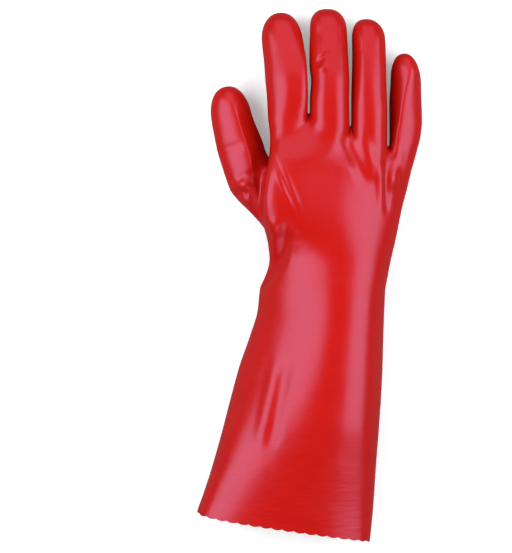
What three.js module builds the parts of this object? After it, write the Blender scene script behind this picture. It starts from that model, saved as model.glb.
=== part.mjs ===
// A long dipped glove for work with chemicals: right hand, lying palm down, fingers to +Y, the back of the hand to +Z
// and the little finger to +X. It is one hollow shell, open at the scalloped hem. Sizes are in millimetres.
import * as THREE from 'three';

// Driving dimensions
const WALL = 1.4;
const PALM_ROUNDNESS = 2.7; // superellipse exponents of the lower halves: 2 is an ellipse, more is boxier
const FINGER_PALM_ROUNDNESS = 2.2;
const HEM = { scallops: 36, depth: 1.1, band: 5, stepsPerScallop: 4, bow: 3.2, bowSkew: 0.36, bowFades: 60 };

// The line that the fingers spring from, and how far below it the valleys between them reach: shorter up to fromX,
// longer from toX on.
const KNUCKLES = { x: -32.8, y: 128.7, slope: -0.339, shortReach: 26, longReach: 24, fromX: 0, toX: 28 };
const BODY_RINGS = 34;
const FINGER_RINGS = 12;
const THUMB_RINGS = 10;
const CAP_RINGS = 5;
const COLOUR = 0xdc1a18;

// A short table: the columns' names, then its rows.
const table = (names, ...rows) => rows.map((row) =>
  Object.fromEntries(names.split(' ').map((name, i) => [name, row[i]])));

// Hand and cuff, from the hem to the knuckles: the two side edges in plan, their heights, the section's low and high,
// the share of the width at which the back is highest, and the back's roundness to the left and right of that crest.
const BODY = table(
  'along leftX leftY rightX rightY leftZ rightZ low high crest leftRound rightRound',
  [0, -87.2, -181.6, 46.3, -205.5, 25, 24, 0, 50, 0.5, 2.6, 2.1],
  [25, -79, -158.5, 48.8, -179.8, 23, 24, 0, 53, 0.505, 2.4, 2],
  [58, -69.9, -127.6, 51.1, -145.7, 19, 25, 0, 57, 0.53, 2.1, 2],
  [91, -61.8, -96.7, 53.7, -111.5, 15, 26, 0, 60, 0.56, 1.9, 1.95],
  [120, -54.4, -69.7, 55.6, -80.9, 13, 26, 0, 59.5, 0.585, 1.8, 1.85],
  [146, -46.3, -46.5, 56.5, -53.8, 13, 26, 0, 58, 0.59, 1.78, 1.8],
  [167, -40.5, -27.2, 57.2, -31, 14, 26, 0, 56, 0.585, 1.8, 1.8],
  [185.5, -38.6, -10.2, 58.2, -11.1, 15, 25, 0, 54, 0.575, 1.82, 1.85],
  [196.5, -34.4, -0.2, 60.2, -0.2, 16.5, 23, 0.2, 52.4, 0.565, 1.86, 1.88],
  [208, -31.3, 11.4, 62.5, 11.4, 18.5, 21, 0.4, 51.3, 0.56, 1.9, 1.88],
  [223.5, -33.4, 26.8, 66.2, 26.8, 23.5, 19, 0.7, 49.9, 0.545, 2.3, 1.85],
  [240.5, -37.1, 43.8, 69.7, 43.8, 31, 17.5, 1.5, 48.8, 0.525, 4, 1.85],
  [255.5, -36.5, 61.6, 72.3, 55.8, 34, 16.5, 2.8, 48, 0.52, 5.2, 1.88],
  [267.5, -34.4, 77, 74.5, 63.6, 33.5, 16, 4.2, 47.3, 0.5, 4.8, 1.95],
  [279, -32.2, 92.4, 76.4, 71.4, 31, 16, 5.8, 46.6, 0.5, 3.6, 2.05],
  [290.5, -30.9, 107.9, 78.2, 78.6, 29, 15.5, 7.5, 45.7, 0.5, 2.6, 2.1],
  [306, -32.8, 128.7, 81.1, 90.1, 26.5, 15.5, 9, 44.5, 0.5, 2.2, 2.15]);

// Fingers from index to little: sections across +Y, below the knuckles too, where they only shape the back of the
// hand. edges is the number of faces across the back, cap and capRoundness the tip's length and roundness, lean how
// far a section's upper side is pushed towards +X, and leftRound and rightRound that side's roundness to the left and
// right, where a low one makes a steep face.
const SECTION = 'y x halfWidth z halfHeight lean leftRound rightRound';
const FINGERS = [
  { edges: 5, tip: 204, cap: 21.8, capRoundness: 2.2, sections: table(
    SECTION,
    [70, -17, 15.6, 25, 15, 0, 2.4, 2.6],
    [121, -17.2, 15.4, 26.5, 15, 1, 2.3, 3],
    [135, -17.5, 15.6, 26.8, 14.8, 3, 2.1, 3.4],
    [150, -18.5, 15.9, 25.3, 14.5, 4, 2, 3.6],
    [166, -19.5, 16.1, 21.5, 14.3, 4, 2, 3.4],
    [177.5, -20.8, 16.1, 18, 14, 3, 2, 3],
    [189, -21.8, 15.7, 15, 13.2, 1, 2.1, 2.5],
    [204, -22.4, 15.3, 13, 12.5, 0, 2.2, 2.2]) },
  { edges: 5, tip: 206.8, cap: 17.2, capRoundness: 2.5, sections: table(
    SECTION,
    [60, 15, 15.6, 27, 16, 0, 2.4, 2.4],
    [112, 15.1, 15.3, 28.5, 16, 0, 2.4, 2.6],
    [135, 15, 15.2, 28.8, 15.5, -2, 2, 3.2],
    [150, 15.6, 14.8, 27.3, 15, -3, 1.8, 3.4],
    [162, 14.8, 15.2, 24.8, 14.6, -2.5, 1.8, 3.2],
    [177.5, 14.5, 14.8, 20.5, 14.2, -1, 2, 2.8],
    [189, 14.4, 14.3, 17.3, 13.5, 0, 2.2, 2.5],
    [206.8, 13.3, 13.9, 14, 12.5, 0, 2.3, 2.3]) },
  { edges: 4, tip: 199, cap: 18.2, capRoundness: 2.4, sections: table(
    SECTION,
    [50, 45.5, 14, 24, 15, 0, 2.4, 2.4],
    [110, 45.7, 14, 25.3, 15, 0, 2.4, 2.4],
    [127, 45.8, 14, 25.5, 14.3, -1.5, 2.1, 2.7],
    [145, 45.6, 13.6, 24.1, 13.6, -3.5, 1.6, 3],
    [166, 45.8, 13.1, 20.2, 13.2, -3.5, 1.5, 3],
    [177.5, 45.7, 13, 17.3, 13, -2.5, 1.6, 2.8],
    [189, 45.2, 13, 14.8, 12.5, -1, 1.9, 2.5],
    [199, 43.8, 12.7, 13.5, 12, 0, 2.3, 2.4]) },
  { edges: 4, tip: 172.4, cap: 21, capRoundness: 2.2, sections: table(
    SECTION,
    [50, 60.5, 11, 17, 13.5, 0, 2.2, 2.2],
    [80, 68, 10.4, 16.5, 13.5, -2, 2.1, 2],
    [96, 72, 10.9, 16, 13.5, -5, 1.8, 1.9],
    [108, 73.8, 12.1, 15.5, 13.4, -6, 1.5, 1.8],
    [120, 74.4, 12.7, 14.5, 13.2, -4.5, 1.4, 1.7],
    [135, 74.2, 12.5, 13.3, 12.8, -2, 1.35, 1.65],
    [150, 74.5, 11.8, 12.5, 12.3, 1, 1.35, 1.65],
    [160, 74.1, 11.5, 12.2, 12, 3, 1.5, 1.8],
    [172.4, 73.3, 11.2, 12, 11.5, 3, 2, 2.1]) },
];

// The webs between the fingers: half of their height, how far they reach between the fingers, and their faces.
const WEB = { halfAngle: THREE.MathUtils.degToRad(27), reach: [7, 8, 9], edges: 3 };

// The thumb's middle line from inside the hand to its tip. It leaves the hand through a patch of the hand's skin.
const THUMB = { cap: 23, capRoundness: 2.2, settle: 0.4, sections: table(
  'x y z halfWidth halfHeight lean leftRound rightRound',
  [-27.8, 44.6, 19, 18.5, 17, 0, 2.2, 2.2],
  [-37.1, 55.4, 17, 17.2, 16.3, 0, 2.1, 2.1],
  [-45.7, 74.7, 15.5, 18, 15.3, 3, 1.95, 1.5],
  [-52.9, 96.3, 14.8, 18, 14.6, 4.5, 1.8, 1.15],
  [-58.9, 115.6, 14.5, 16.4, 14.3, 4.5, 1.8, 1.15],
  [-61.8, 128.7, 14.2, 15.5, 14, 3, 1.85, 1.3],
  [-65.3, 146.6, 13.8, 15, 13.6, 1, 2, 2]) };
const THUMB_ROOT = { firstRing: 25, rings: 5, backColumns: -1, palmColumns: 6 };
const SMOOTHING = { rounds: 5, share: 0.6, rootRings: 2, webRings: 2, webColumns: 2 };

// Folds and dents, as paths in plan: rise is outwards, and width is the distance at which a fold has died away.
const FOLDS = [
  { rise: -2.2, width: 7, // dent below the thumb, then up beside it
    path: [[-45, -12], [-39.5, -9], [-34, -3], [-28.5, 3], [-23, 11], [-19.5, 22], [-19, 34], [-18.5, 46]] },
  { rise: 1.7, width: 7.5, path: [[-27, 46], [-28, 34], [-28.5, 22], [-29, 8]] }, // low bulge left of it
  { rise: -1.7, width: 8, path: [[25, 112], [34, 90], [45, 66]] }, // valley below middle and ring
  { rise: 1.6, width: 8, path: [[36, 112], [45, 92], [54, 72]] },
  { rise: 1.3, width: 5, path: [[56, 100], [53.5, 86], [54, 65], [55, 46]] }, // ridge below the ring finger
  { rise: 1.8, width: 8, path: [[66, 104], [65, 84], [62, 62]] }, // low bulge below the little finger
  { rise: -1.1, width: 8, path: [[-16, -58], [-21.5, -85], [-27, -112], [-32, -136]] }, // step along the cuff
  { rise: 1.1, width: 8, path: [[-24.5, -58], [-30, -85], [-35.5, -112], [-41, -136]] },
];
const THUMB_FOLDS = [
  { rise: -1, width: 6, path: [[-74, 95], [-63, 98], [-50, 101]] }, // crease across the ball of the thumb
  { rise: -1.2, width: 3.5, path: [[-57, 76], [-50, 77], [-41, 81]] }, // creases below it
  { rise: 1.8, width: 5, path: [[-60, 69], [-52, 70], [-44, 70], [-40.5, 61], [-39, 50]] },
  { rise: -2, width: 5, path: [[-60, 62], [-53, 64], [-47, 63]] },
];

const { clamp, lerp, smoothstep } = THREE.MathUtils;

// One column of a table as a smooth function of another column, with no overshoot between the rows.
function curve(rows, station, column) {
  const at = rows.map((row) => row[station]);
  const value = rows.map((row) => row[column]);
  const rise = at.slice(1).map((a, i) => (value[i + 1] - value[i]) / (a - at[i]));
  const slope = value.map((_, i) => {
    const before = rise[Math.max(0, i - 1)];
    const after = rise[Math.min(rise.length - 1, i)];
    return before * after > 0 ? (2 * before * after) / (before + after) : 0;
  });
  return (s) => {
    const i = clamp(at.findIndex((a) => a > s) - 1, 0, rise.length - 1) || (s >= at.at(-1) ? rise.length - 1 : 0);
    const gap = at[i + 1] - at[i];
    const t = clamp((s - at[i]) / gap, 0, 1);
    const start = (1 + 2 * t) * (1 - t) ** 2 * value[i] + t * (1 - t) ** 2 * gap * slope[i];
    const end = t * t * (3 - 2 * t) * value[i + 1] + t * t * (t - 1) * gap * slope[i + 1];
    return start + end;
  };
}

function curves(rows, station) {
  const columns = Object.keys(rows[0]).filter((key) => key !== station);
  return Object.fromEntries(columns.map((key) => [key, curve(rows, station, key)]));
}

// A power that keeps the sign, for superellipses.
const power = (value, roundness) => Math.sign(value) * Math.abs(value) ** (2 / roundness);

const body = curves(BODY, 'along');
const bodyLength = BODY.at(-1).along;
const knuckleY = (x) => KNUCKLES.y + KNUCKLES.slope * (x - KNUCKLES.x);

// A point of the hand and cuff: angle 0 is the left edge, a quarter turn the back, half a turn the right edge. The
// back's half is pushed sideways by a parabola, so that it peaks at the crest's share of the width.
function bodyPoint(along, angle) {
  const onBack = Math.sin(angle) >= 0;
  const onLeft = Math.cos(angle) > 0;
  const roundness = onBack ? (onLeft ? body.leftRound : body.rightRound)(along) : PALM_ROUNDNESS;
  const evenly = (1 - power(Math.cos(angle), roundness)) / 2;
  const across = evenly + (onBack ? 4 * (body.crest(along) - 0.5) * evenly * (1 - evenly) : 0);
  const edgeZ = lerp(body.leftZ(along), body.rightZ(along), across);
  const reach = (onBack ? body.high(along) : body.low(along)) - (body.leftZ(along) + body.rightZ(along)) / 2;
  const bow = HEM.bow * Math.sin(Math.PI * across ** HEM.bowSkew) * (1 - smoothstep(along, 0, HEM.bowFades));
  return new THREE.Vector3(
    lerp(body.leftX(along), body.rightX(along), across),
    lerp(body.leftY(along), body.rightY(along), across) - bow,
    edgeZ + reach * Math.abs(power(Math.sin(angle), roundness)));
}

// The angles that part one half of a section into steps: by length at the hem, closer at the edges further up.
function sectionAngles(along, steps, fromAngle) {
  const samples = 120;
  const lengths = [0];
  for (let i = 1; i <= samples; i++) {
    const from = bodyPoint(along, fromAngle + (Math.PI * (i - 1 + 1e-6)) / samples);
    const to = bodyPoint(along, fromAngle + (Math.PI * (i - 1e-6)) / samples);
    lengths.push(lengths.at(-1) + from.distanceTo(to));
  }
  const evenness = 1 - 0.5 * smoothstep(along, 0, 60);
  return Array.from({ length: steps }, (_, k) => {
    const wanted = (lengths.at(-1) * k) / steps;
    const i = Math.max(1, lengths.findIndex((length) => length >= wanted));
    const byLength = (i - 1 + (wanted - lengths[i - 1]) / (lengths[i] - lengths[i - 1])) / samples;
    return fromAngle + Math.PI * lerp(k / steps, byLength, evenness);
  });
}

// A section 1 wide and 1 high each way, with roundnesses of its own to the left and right on the upper side.
function superellipse(angle, leftRound, rightRound) {
  const upper = Math.cos(angle) < 0 ? leftRound : rightRound;
  const roundness = Math.sin(angle) > 0 ? upper : FINGER_PALM_ROUNDNESS;
  return [power(Math.cos(angle), roundness), power(Math.sin(angle), roundness)];
}

// A finger's section at y, where angle 0 points to +X and a quarter turn to the back. Its upper side leans by the
// square of its height.
function fingerPoint(sections, y, angle, size = 1) {
  const [across, up] = superellipse(angle, sections.leftRound(y), sections.rightRound(y));
  return new THREE.Vector3(
    sections.x(y) + size * (sections.halfWidth(y) * across + sections.lean(y) * Math.max(up, 0) ** 2),
    y,
    sections.z(y) + size * sections.halfHeight(y) * up);
}

const vertices = [];
const faces = [];
const addPoint = (point) => vertices.push(point) - 1;

// Faces between two rings with as many vertices, leaving out the columns that skip names.
function joinRings(ring, next, skip = () => false) {
  ring.forEach((a, i) => {
    const j = (i + 1) % ring.length;
    if (!skip(i)) faces.push([a, ring[j], next[j]], [a, next[j], next[i]]);
  });
}

// The rings of a rounded tip, then its middle vertex: section gives the point for a column at a share of the cap.
function closeTip(lastRing, roundness, section) {
  let ring = lastRing;
  for (let k = 1; k < CAP_RINGS; k++) {
    const angle = (k / CAP_RINGS) * (Math.PI / 2);
    const share = power(Math.sin(angle), roundness);
    const size = power(Math.cos(angle), roundness);
    const next = ring.map((_, i) => addPoint(section(i, share, size)));
    joinRings(ring, next);
    ring = next;
  }
  const tip = addPoint(section(0, 1, 0));
  ring.forEach((a, i) => faces.push([a, ring[(i + 1) % ring.length], tip]));
}

const backEdges = FINGERS.reduce((sum, finger) => sum + finger.edges, 0);
const columns = 2 * backEdges;
const fingerCurves = FINGERS.map((finger) => curves(finger.sections, 'y'));

// Where each finger's back starts and ends among the columns, and its angles there.
const spans = FINGERS.map((finger, f) => {
  const first = FINGERS.slice(0, f).reduce((sum, other) => sum + other.edges, 0);
  return {
    first,
    last: first + finger.edges,
    startAngle: Math.PI - (f > 0 ? WEB.halfAngle : 0),
    endAngle: f < FINGERS.length - 1 ? WEB.halfAngle : 0,
  };
});

// The fingers' sections at a distance below the knuckles, as one ring of points for all the columns.
function knuckleRing(below) {
  const sums = Array.from({ length: columns }, () => new THREE.Vector3());
  const counts = new Array(columns).fill(0);
  spans.forEach((span, f) => {
    for (const side of [1, -1]) {
      for (let k = 0; k <= FINGERS[f].edges; k++) {
        const angle = side * lerp(span.startAngle, span.endAngle, k / FINGERS[f].edges);
        const edgeX = fingerPoint(fingerCurves[f], knuckleY(fingerCurves[f].x(0)), angle).x;
        const point = fingerPoint(fingerCurves[f], knuckleY(edgeX) - below, angle);
        const column = (side > 0 ? span.first + k : columns - span.first - k) % columns;
        sums[column].add(point);
        counts[column] += 1;
      }
    }
  });
  return sums.map((sum, i) => sum.divideScalar(counts[i]));
}

// The patch of the hand's skin that the thumb takes the place of: its faces, and the vertices wholly inside it.
const rootColumns = THUMB_ROOT.backColumns + THUMB_ROOT.palmColumns;
const rootStart = columns - THUMB_ROOT.palmColumns;
const intoRoot = (i, column) => [i - THUMB_ROOT.firstRing, (column - rootStart + columns) % columns];
const isRootFace = (i, column) => {
  const [up, across] = intoRoot(i, column);
  return up >= 0 && up < THUMB_ROOT.rings && across < rootColumns;
};
const isInsideRoot = (i, column) => {
  const [up, across] = intoRoot(i, column);
  return up > 0 && up < THUMB_ROOT.rings && across > 0 && across < rootColumns;
};

// The hand and cuff: rings from the hem's band to the knuckles, where the section turns into the fingers' own.
const ringAlong = (i) => lerp(HEM.band, bodyLength, i / BODY_RINGS);
const valleyReach = knuckleRing(0).map(({ x }) =>
  lerp(KNUCKLES.shortReach, KNUCKLES.longReach, smoothstep(x, KNUCKLES.fromX, KNUCKLES.toX)));
const bodyRings = Array.from({ length: BODY_RINGS + 1 }, (_, i) => {
  const along = ringAlong(i);
  const angles = [...sectionAngles(along, backEdges, 0), ...sectionAngles(along, backEdges, Math.PI)];
  const below = bodyLength - along;
  const knuckles = knuckleRing(below);
  return angles.map((angle, column) => {
    if (isInsideRoot(i, column)) return null;
    const share = 1 - smoothstep(below, 0, valleyReach[column]);
    return addPoint(bodyPoint(along, angle).lerp(knuckles[column], share));
  });
});
for (let i = 0; i < BODY_RINGS; i++) joinRings(bodyRings[i], bodyRings[i + 1], (column) => isRootFace(i, column));

// The webs: vertices between the back's and the palm's column at each gap between fingers.
const lastBodyRing = bodyRings.at(-1);
const webs = spans.slice(0, -1).map((span, f) => {
  const back = vertices[lastBodyRing[span.last]];
  const palm = vertices[lastBodyRing[columns - span.last]];
  return Array.from({ length: WEB.edges - 1 }, (_, k) => {
    const share = (k + 1) / WEB.edges;
    const point = back.clone().lerp(palm, share);
    point.y += WEB.reach[f] * Math.sin(Math.PI * share);
    return addPoint(point);
  });
});

function addFinger(f) {
  const { first, last, startAngle, endAngle } = spans[f];
  const { edges, tip, cap, capRoundness } = FINGERS[f];
  const sections = fingerCurves[f];
  const ring = [];
  const angles = [];
  const take = (vertex, angle) => {
    ring.push(vertex);
    angles.push(angle);
  };
  for (let k = 0; k <= edges; k++) take(lastBodyRing[first + k], lerp(startAngle, endAngle, k / edges));
  const rightWeb = webs[f] ?? [];
  rightWeb.forEach((vertex, k) => take(vertex, lerp(endAngle, -endAngle, (k + 1) / WEB.edges)));
  for (let k = endAngle > 0 ? 0 : 1; k <= edges - (f > 0 ? 0 : 1); k++) {
    take(lastBodyRing[columns - last + k], -lerp(endAngle, startAngle, k / edges));
  }
  const leftWeb = (webs[f - 1] ?? []).toReversed();
  leftWeb.forEach((vertex, k) => take(vertex, -lerp(startAngle, 2 * Math.PI - startAngle, (k + 1) / WEB.edges)));

  const capY = tip - cap;
  let previous = ring;
  for (let i = 1; i <= FINGER_RINGS; i++) {
    const next = ring.map((vertex, k) => {
      const y = lerp(vertices[vertex].y, capY, i / FINGER_RINGS);
      return addPoint(fingerPoint(sections, y, angles[k]));
    });
    joinRings(previous, next);
    previous = next;
  }
  closeTip(previous, capRoundness, (k, share, size) => fingerPoint(sections, capY + cap * share, angles[k], size));
}
FINGERS.forEach((_, f) => addFinger(f));

// The thumb: columns that start on the patch's edge in the hand's skin and settle into sections across the middle
// line.
const thumbLine = new THREE.CatmullRomCurve3(THUMB.sections.map(({ x, y, z }) => new THREE.Vector3(x, y, z)));
const thumbLength = thumbLine.getLength();
const thumbRows = THUMB.sections.map((row, i) => ({ ...row, share: i / (THUMB.sections.length - 1) }));
const thumb = curves(thumbRows, 'share');

function thumbPoint(share, angle, size = 1) {
  const forward = thumbLine.getTangent(share);
  const right = new THREE.Vector3(forward.y, -forward.x, 0).normalize();
  const up = right.clone().cross(forward);
  const [across, rise] = superellipse(angle, thumb.leftRound(share), thumb.rightRound(share));
  return thumbLine.getPoint(share)
    .addScaledVector(right, size * (thumb.halfWidth(share) * across + thumb.lean(share) * Math.max(rise, 0) ** 2))
    .addScaledVector(up, size * thumb.halfHeight(share) * rise);
}

// The share of the thumb's line that is nearest to a point in plan.
function nearestShare(point) {
  let best = 0;
  let bestDistance = Infinity;
  for (let i = 0; i <= 100; i++) {
    const place = thumbLine.getPoint(i / 100);
    const distance = Math.hypot(place.x - point.x, place.y - point.y);
    if (distance < bestDistance) [best, bestDistance] = [i / 100, distance];
  }
  return best;
}

function addThumb() {
  const { firstRing, rings, backColumns } = THUMB_ROOT;
  const column = (k) => (k + columns) % columns;
  const loop = [];
  for (let k = 0; k < rootColumns; k++) loop.push(bodyRings[firstRing + rings][column(backColumns - k)]);
  for (let i = 0; i < rings; i++) loop.push(bodyRings[firstRing + rings - i][rootStart]);
  for (let k = 0; k < rootColumns; k++) loop.push(bodyRings[firstRing][column(rootStart + k)]);
  for (let i = 0; i < rings; i++) loop.push(bodyRings[firstRing + i][column(backColumns)]);
  const angles = loop.map((_, i) => Math.PI / 4 - (2 * Math.PI * i) / loop.length);
  const capShare = 1 - THUMB.cap / thumbLength;
  const starts = loop.map((vertex) => nearestShare(vertices[vertex]));
  const offsets = loop.map((vertex, k) => vertices[vertex].clone().sub(thumbPoint(starts[k], angles[k])));
  const ringsMade = [loop];
  for (let i = 1; i <= THUMB_RINGS; i++) {
    const share = i / THUMB_RINGS;
    const kept = 1 - smoothstep(share, 0, THUMB.settle);
    const next = loop.map((_, k) => addPoint(
      thumbPoint(lerp(starts[k], capShare, share), angles[k]).addScaledVector(offsets[k], kept)));
    joinRings(ringsMade.at(-1), next);
    ringsMade.push(next);
  }
  closeTip(ringsMade.at(-1), THUMB.capRoundness, (k, share, size) =>
    thumbPoint(lerp(capShare, 1, share), angles[k], size));
  return ringsMade;
}
const thumbRings = addThumb();

// Neighbours of each vertex along the faces' edges, for smoothing and for the normals.
function neighboursOf(count) {
  const neighbours = Array.from({ length: count }, () => new Set());
  for (const [a, b, c] of faces) {
    for (const [from, to] of [[a, b], [b, c], [c, a]]) {
      neighbours[from].add(to);
      neighbours[to].add(from);
    }
  }
  return neighbours;
}

// How much each vertex near the thumb's root and the webs gives way when the skin is smoothed.
function smoothingWeights() {
  const weight = new Map();
  const give = (vertex, away) => {
    if (away < 1) weight.set(vertex, Math.max(weight.get(vertex) ?? 0, SMOOTHING.share * (1 - away)));
  };
  const { firstRing, rings, palmColumns, backColumns } = THUMB_ROOT;
  bodyRings.forEach((ring, i) => ring.forEach((vertex, column) => {
    if (vertex === null) return;
    const fromEdge = column > columns / 2 ? column - columns : column;
    const alongPatch = Math.max(firstRing - i, i - firstRing - rings);
    const outside = Math.max(alongPatch, -palmColumns - fromEdge, fromEdge - backColumns, 0);
    give(vertex, outside / (SMOOTHING.rootRings + 1));
    const toCrotch = Math.min(...spans.slice(0, -1).map(({ last }) =>
      Math.min(Math.abs(column - last), Math.abs(columns - column - last))));
    give(vertex, Math.max((BODY_RINGS - i) / (SMOOTHING.webRings + 1), toCrotch / SMOOTHING.webColumns));
  }));
  thumbRings.slice(1, SMOOTHING.rootRings + 2).forEach((ring, i) => {
    for (const vertex of ring) give(vertex, (i + 1) / (SMOOTHING.rootRings + 2));
  });
  return weight;
}

// Rounds of smoothing: each vertex moves towards the middle of its neighbours by its weight.
function smoothJoints() {
  const weight = smoothingWeights();
  const neighbours = neighboursOf(vertices.length);
  for (let round = 0; round < SMOOTHING.rounds; round++) {
    const moved = [...weight].map(([vertex, share]) => {
      const middle = new THREE.Vector3();
      for (const other of neighbours[vertex]) middle.add(vertices[other]);
      return [vertex, vertices[vertex].clone().lerp(middle.divideScalar(neighbours[vertex].size), share)];
    });
    for (const [vertex, place] of moved) vertices[vertex].copy(place);
  }
}
smoothJoints();

function normalsOf() {
  const normals = vertices.map(() => new THREE.Vector3());
  for (const [a, b, c] of faces) {
    const normal = vertices[b].clone().sub(vertices[a]).cross(vertices[c].clone().sub(vertices[a]));
    for (const vertex of [a, b, c]) normals[vertex].add(normal);
  }
  return normals.map((normal) => normal.normalize());
}

// How strongly a fold acts at a place in plan: 1 on its path, fading to the sides and to both ends.
function foldStrength({ path, width }, x, y) {
  let nearest = Infinity;
  let share = 0;
  for (let i = 1; i < path.length; i++) {
    const [fromX, fromY] = path[i - 1];
    const [dx, dy] = [path[i][0] - fromX, path[i][1] - fromY];
    const t = clamp(((x - fromX) * dx + (y - fromY) * dy) / (dx * dx + dy * dy), 0, 1);
    const distance = Math.hypot(x - fromX - t * dx, y - fromY - t * dy);
    if (distance < nearest) [nearest, share] = [distance, (i - 1 + t) / (path.length - 1)];
  }
  const fade = smoothstep(Math.min(share, 1 - share), -0.05, 0.3);
  return nearest < width ? fade * (1 + Math.cos((Math.PI * nearest) / width)) / 2 : 0;
}

// Raises and dents the skin along its normals, on the side that faces up.
function addFolds() {
  const normals = normalsOf();
  const onThumb = new Set(thumbRings.slice(2).flat());
  vertices.forEach((vertex, i) => {
    const facing = smoothstep(normals[i].z, 0.05, 0.4);
    for (const fold of onThumb.has(i) ? THUMB_FOLDS : FOLDS) {
      vertex.addScaledVector(normals[i], facing * fold.rise * foldStrength(fold, vertex.x, vertex.y));
    }
  });
}
addFolds();

// The hem: a band whose edge runs in scallops, several steps to each one.
function addHem() {
  const stepsPerColumn = (HEM.scallops * HEM.stepsPerScallop) / columns;
  const steps = columns * stepsPerColumn;
  const angles = [...sectionAngles(0, steps / 2, 0), ...sectionAngles(0, steps / 2, Math.PI)];
  const hem = angles.map((angle, i) => {
    const point = bodyPoint(0, angle);
    const inward = bodyPoint(HEM.band, angle).sub(point).normalize();
    const bulge = Math.abs(Math.sin((Math.PI * i) / HEM.stepsPerScallop));
    return addPoint(point.addScaledVector(inward, HEM.depth * (1 - bulge)));
  });
  bodyRings[0].forEach((vertex, column) => {
    const next = bodyRings[0][(column + 1) % columns];
    const fan = Array.from({ length: stepsPerColumn + 1 }, (_, k) => hem[(column * stepsPerColumn + k) % steps]);
    const middle = Math.floor(stepsPerColumn / 2);
    for (let k = 0; k < stepsPerColumn; k++) faces.push([fan[k], fan[k + 1], k < middle ? vertex : next]);
    faces.push([vertex, fan[middle], next]);
  });
  return hem;
}
const hem = addHem();

// The whole shell: the outer skin, the same skin moved inwards by the wall and turned over, and the hem's rim.
function shellGeometry() {
  const normals = normalsOf();
  const count = vertices.length;
  const inner = vertices.map((vertex, i) => vertex.clone().addScaledVector(normals[i], -WALL));
  const innerFaces = faces.map(([a, b, c]) => [count + a, count + c, count + b]);
  const rim = hem.flatMap((vertex, i) => {
    const next = hem[(i + 1) % hem.length];
    return [[next, vertex, count + vertex], [next, count + vertex, count + next]];
  });
  const geometry = new THREE.BufferGeometry().setFromPoints([...vertices, ...inner]);
  geometry.setIndex([...faces, ...innerFaces, ...rim].flat());
  geometry.computeVertexNormals();
  geometry.computeBoundingBox();
  const { min, max } = geometry.boundingBox;
  return geometry.translate(-(min.x + max.x) / 2, -(min.y + max.y) / 2, -min.z);
}

const glove = new THREE.Mesh(
  shellGeometry(),
  new THREE.MeshStandardMaterial({ color: COLOUR, roughness: 0.35, metalness: 0 }));
glove.name = 'glove';

const part = new THREE.Group();
part.add(glove);

export default part;
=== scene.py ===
"""A long dipped work gauntlet for the right hand, lying palm down on a pale floor."""

import bpy
import numpy as np
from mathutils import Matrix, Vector


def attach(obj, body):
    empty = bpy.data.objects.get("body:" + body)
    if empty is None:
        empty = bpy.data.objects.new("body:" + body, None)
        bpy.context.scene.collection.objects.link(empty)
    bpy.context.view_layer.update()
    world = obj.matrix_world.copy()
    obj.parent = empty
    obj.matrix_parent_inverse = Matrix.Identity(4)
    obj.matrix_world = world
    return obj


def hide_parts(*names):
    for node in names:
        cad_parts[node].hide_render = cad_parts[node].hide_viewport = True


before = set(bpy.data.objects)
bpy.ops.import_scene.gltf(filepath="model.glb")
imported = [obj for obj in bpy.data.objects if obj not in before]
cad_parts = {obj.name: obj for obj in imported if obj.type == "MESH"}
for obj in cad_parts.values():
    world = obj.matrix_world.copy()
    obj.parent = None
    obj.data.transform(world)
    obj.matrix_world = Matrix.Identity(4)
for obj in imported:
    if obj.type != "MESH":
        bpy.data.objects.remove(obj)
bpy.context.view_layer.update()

bl_info = {
    "name": "Dipped work gauntlet",
    "version": (1, 0, 0),
    "blender": (4, 5, 0),
    "location": "View3D > Sidebar > Gauntlet",
    "description": "Builds a dipped PVC gauntlet with a scalloped hem, and a pale studio round it",
    "category": "Object",
}

MM = 0.001  # the tables and sizes below are in millimetres, and Blender's unit is the metre


def table(columns, *rows):
    """A short table as one array for each named column."""
    return dict(zip(columns.split(), np.array(rows, float).T))


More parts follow.
